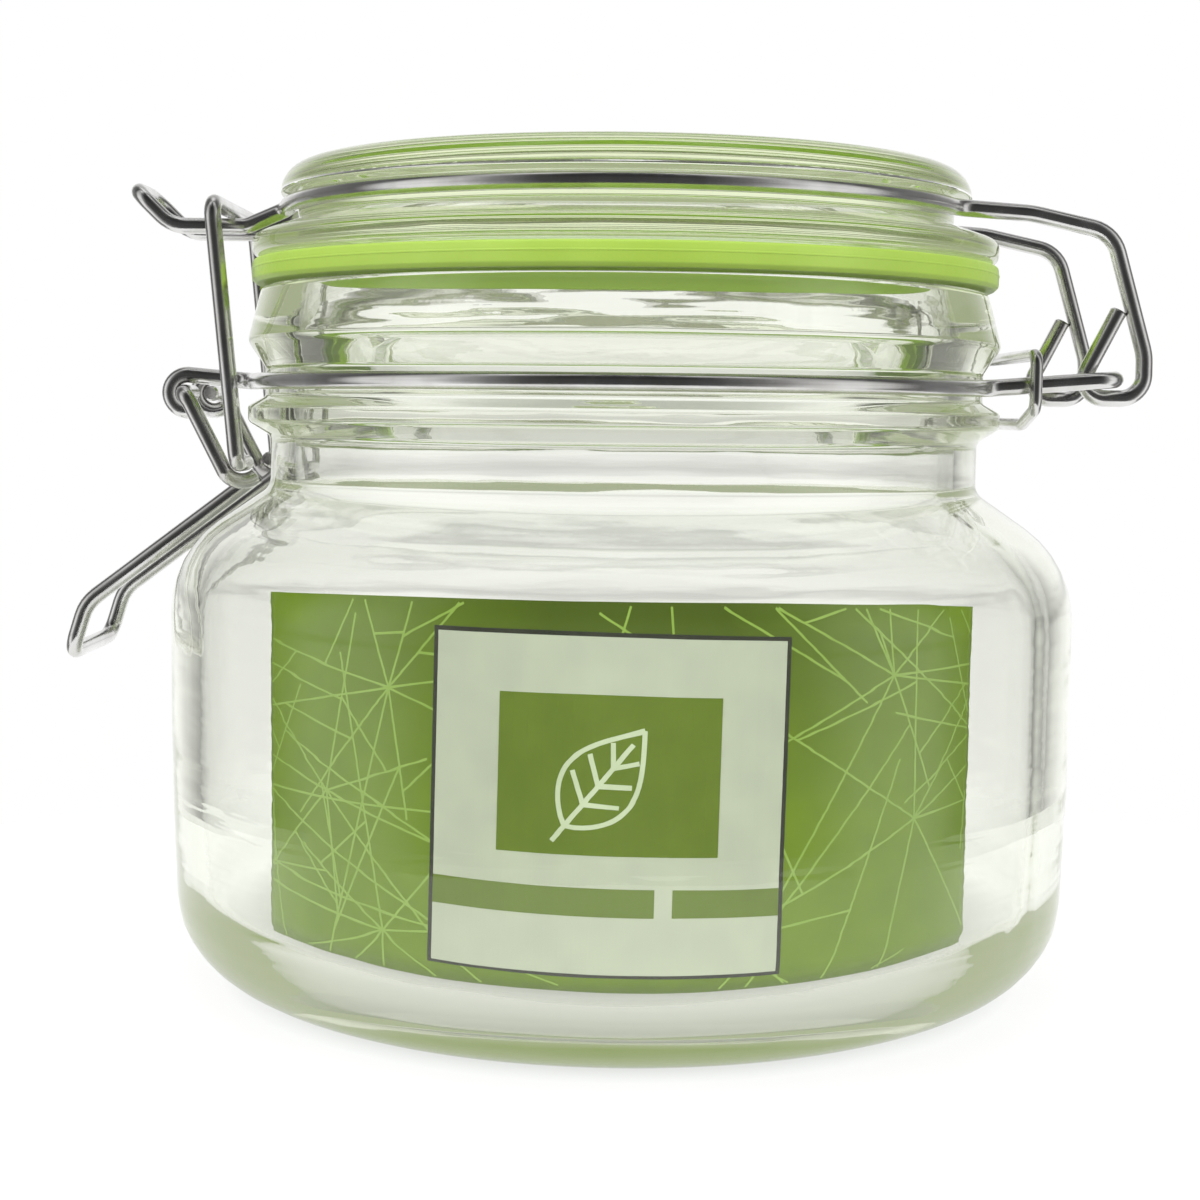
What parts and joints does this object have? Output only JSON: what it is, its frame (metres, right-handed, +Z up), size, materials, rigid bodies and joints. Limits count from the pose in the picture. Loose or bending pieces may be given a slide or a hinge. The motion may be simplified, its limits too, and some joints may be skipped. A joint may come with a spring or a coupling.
{
  "type": "bail clamp jar",
  "caption": "Wide-mouth glass preserving jar with a hinged glass lid, a rubber gasket, an over-centre wire clasp at one side and a printed card standing inside.",
  "frame": {"origin": "the jar's axis at its base, the middle of the flat face that it stands on", "axes": "+Z up along the jar's axis, +X from the clasp towards the hinge, -Y the side that the card faces"},
  "size_m": [0.1256, 0.1078, 0.0956],
  "materials": {
    "jar_glass": "clear moulded glass with a faint green tint",
    "lid_glass": "clear pressed glass with a faint green tint",
    "gasket_rubber": "soft lime green silicone rubber",
    "steel_wire": "bright drawn steel wire",
    "keeper_wire": "bright drawn steel wire, thinner",
    "card_paper": "printed coated card, green with a pale panel"
  },
  "bodies": {
    "jar": {"jar_body": "jar_glass", "neck_wire": "steel_wire", "hinge_keeper": "keeper_wire", "card_insert": "card_paper"},
    "lid": {"lid_glass": "lid_glass", "gasket": "gasket_rubber", "lid_wire": "steel_wire"},
    "lever": {"clasp_lever": "steel_wire"},
    "link": {"clasp_link": "steel_wire"}
  },
  "joints": [
    {"name": "lid_hinge", "type": "hinge", "parent": "jar", "child": "lid", "pos_m": [0.0556, 0, 0.0714], "axis": [0, 1, 0], "range_deg": [0, 205]},
    {"name": "lever_pivot", "type": "hinge", "parent": "jar", "child": "lever", "pos_m": [-0.0511, 0, 0.0688], "axis": [0, 1, 0], "range_deg": [0, 115], "deforming": ["clasp_link"]},
    {"name": "link_swing", "type": "hinge", "parent": "lever", "child": "link", "pos_m": [-0.0443, 0, 0.0607], "axis": [0, 1, 0], "range_deg": [-125, 0]}
  ],
  "couplings": [
    {"joint": "link_swing", "follows": "lever_pivot", "ratio": -1.08}
  ]
}
